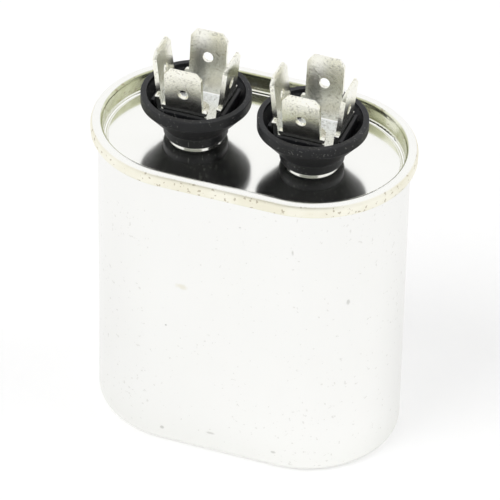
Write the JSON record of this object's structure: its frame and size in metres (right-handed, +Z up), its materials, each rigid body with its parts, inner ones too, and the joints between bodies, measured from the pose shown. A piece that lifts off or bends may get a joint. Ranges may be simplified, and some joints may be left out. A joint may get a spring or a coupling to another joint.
{
  "type": "motor run capacitor",
  "caption": "Oval aluminium can with a double-seamed metal cover and two moulded cups holding upright quick-connect blade terminals.",
  "frame": {"origin": "centre of the can's flat foot, on the surface it stands on", "axes": "+Z up through the terminals, +X along the long side of the oval, +Y across its short side"},
  "size_m": [0.0548, 0.0344, 0.0693],
  "materials": {
    "can_aluminium": "satin drawn aluminium with fine scratches and small scuffs",
    "cover_tinplate": "bright tinplate, mirror-like with fine grain and dust",
    "compound": "soft sealing compound",
    "cup_moulding": "black moulded thermoset, low sheen",
    "terminal_plate": "tin plating with a yellowish cast, fine speckle",
    "rivet_metal": "tin-plated rivet",
    "rubber": "matt rubber",
    "bush_moulding": "natural moulding",
    "tag_metal": "tinned brass",
    "wire": "tinned wire",
    "sleeve": "woven insulating sleeve",
    "insulating_board": "moulded insulating plate",
    "film": "metallised film roll",
    "core_plastic": "plastic tube pressed flat",
    "sprayed_zinc": "grey sprayed zinc, rough",
    "wrap_film": "clear film wrap",
    "pad_plastic": "moulded insulating pad"
  },
  "bodies": {
    "root": {"can": "can_aluminium", "cover": "cover_tinplate", "seam_compound": "compound", "left_cup": "cup_moulding", "right_cup": "cup_moulding", "left_terminal": "terminal_plate", "right_terminal": "terminal_plate", "left_rivet": "rivet_metal", "right_rivet": "rivet_metal", "left_gasket": "rubber", "right_gasket": "rubber", "left_bush": "bush_moulding", "right_bush": "bush_moulding", "left_tag": "tag_metal", "right_tag": "tag_metal", "left_lead": "wire", "right_lead": "wire", "lead_sleeve": "sleeve", "disconnect_plate": "insulating_board", "winding": "film", "winding_core": "core_plastic", "upper_spray": "sprayed_zinc", "lower_spray": "sprayed_zinc", "outer_wrap": "wrap_film", "bottom_pad": "pad_plastic"}
  },
  "joints": []
}
